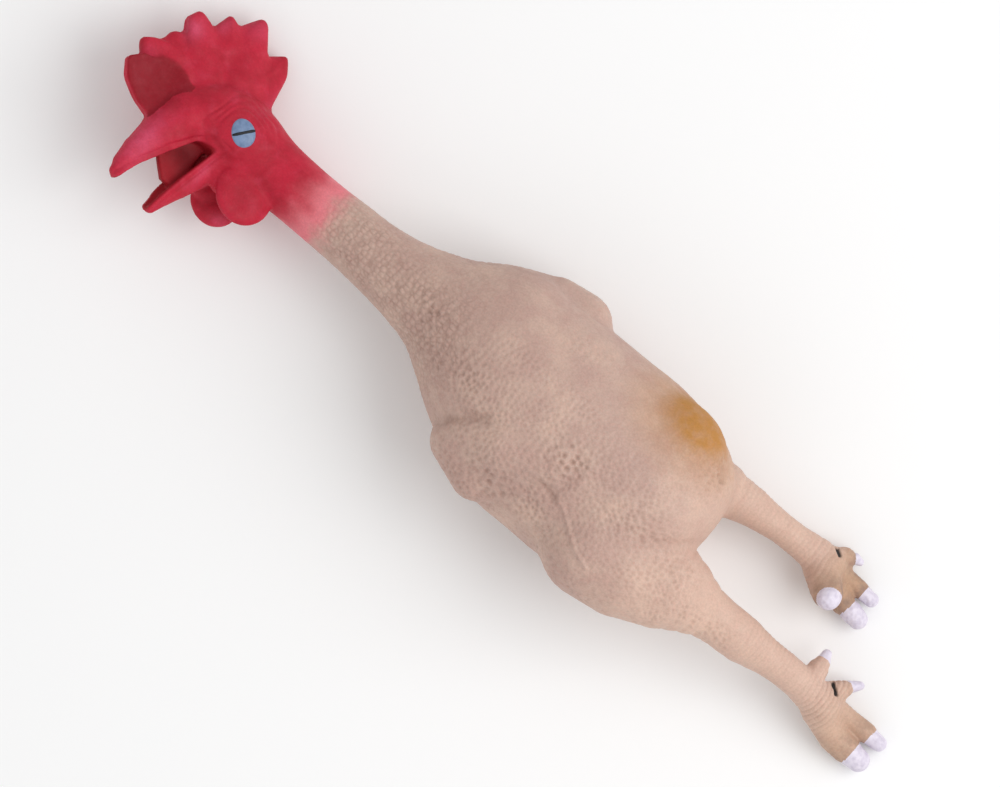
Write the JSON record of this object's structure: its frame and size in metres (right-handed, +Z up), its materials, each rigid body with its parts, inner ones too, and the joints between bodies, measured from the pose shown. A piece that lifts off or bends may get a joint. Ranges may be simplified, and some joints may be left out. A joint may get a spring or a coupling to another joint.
{
  "type": "rubber chicken",
  "caption": "Comic stage prop shaped like a plucked chicken in hollow latex, with a floppy neck, comb, open beak and dangling legs, lying on its side.",
  "frame": {"origin": "centre of the flattened patch of skin that the body rests on", "axes": "+X along the body to the head, +Y to the breast side, +Z up from the surface it lies on"},
  "size_m": [0.5449, 0.1287, 0.0996],
  "materials": {
    "skin": "satin",
    "skin_yellow": "satin",
    "skin_red": "satin",
    "foot_skin": "satin",
    "eye_paint": "satin",
    "pupil_paint": "satin",
    "claw_paint": "satin",
    "fibre_fill": "matte",
    "squeaker_plastic": "satin",
    "reed_brass": "satin"
  },
  "bodies": {
    "torso": {"torso_skin": "skin", "tail": "skin_yellow", "wing_left": "skin", "wing_right": "skin", "thigh_left": "skin", "thigh_right": "skin", "body_stuffing": "fibre_fill", "squeaker_housing": "squeaker_plastic", "squeaker_cap": "squeaker_plastic"},
    "neck_lower": {"neck_lower_skin": "skin"},
    "neck_upper": {"neck_upper_skin": "skin"},
    "head": {"head_skin": "skin_red", "comb": "skin_red", "upper_beak": "skin_red", "wattle_left": "skin_red", "wattle_right": "skin_red", "eye_left": "eye_paint", "eye_right": "eye_paint", "pupil_left": "pupil_paint", "pupil_right": "pupil_paint"},
    "jaw": {"lower_beak": "skin_red"},
    "shank_left": {"shank_left_skin": "skin"},
    "foot_left": {"foot_left_skin": "foot_skin", "claws_left": "claw_paint"},
    "shank_right": {"shank_right_skin": "skin"},
    "foot_right": {"foot_right_skin": "foot_skin", "claws_right": "claw_paint"},
    "reed": {"squeaker_reed": "reed_brass"}
  },
  "joints": [
    {"name": "neck_base_bend", "type": "hinge", "parent": "torso", "child": "neck_lower", "pos_m": [0.118, -0.0056, 0.045], "axis": [0, 0, 1], "range_deg": [-28, 28], "stiffness_Nm_per_rad": 0.6},
    {"name": "neck_mid_lift", "type": "hinge", "parent": "neck_lower", "child": "neck_upper", "pos_m": [0.157, -0.0035, 0.0386], "axis": [0, -1, 0], "range_deg": [-15, 35], "stiffness_Nm_per_rad": 0.6},
    {"name": "head_turn", "type": "hinge", "parent": "neck_upper", "child": "head", "pos_m": [0.196, -0.003, 0.0303], "axis": [0, 0, 1], "range_deg": [-25, 25], "stiffness_Nm_per_rad": 0.4},
    {"name": "jaw_open", "type": "hinge", "parent": "head", "child": "jaw", "pos_m": [0.25362, 0.01592, 0.03843], "axis": [-0.2502, -0.3773, 0.8917], "range_deg": [-8, 10], "stiffness_Nm_per_rad": 0.08},
    {"name": "hock_left_bend", "type": "hinge", "parent": "torso", "child": "shank_left", "pos_m": [-0.126, 0.0249, 0.0454], "axis": [0, 0, -1], "range_deg": [-8, 40], "stiffness_Nm_per_rad": 0.25},
    {"name": "ankle_left_lift", "type": "hinge", "parent": "shank_left", "child": "foot_left", "pos_m": [-0.16, 0.0223, 0.0334], "axis": [0, 1, 0], "range_deg": [-8, 30], "stiffness_Nm_per_rad": 0.15},
    {"name": "hock_right_bend", "type": "hinge", "parent": "torso", "child": "shank_right", "pos_m": [-0.088, -0.0313, 0.0274], "axis": [0, 0, 1], "range_deg": [-5, 35], "stiffness_Nm_per_rad": 0.25},
    {"name": "ankle_right_lift", "type": "hinge", "parent": "shank_right", "child": "foot_right", "pos_m": [-0.126, -0.0345, 0.0194], "axis": [0, 1, 0], "range_deg": [-8, 30], "stiffness_Nm_per_rad": 0.15},
    {"name": "reed_flutter", "type": "hinge", "parent": "torso", "child": "reed", "pos_m": [-0.0734, -0.0115, 0.048], "axis": [0, 0, -1], "range_deg": [0, 8], "stiffness_Nm_per_rad": 0.002}
  ]
}
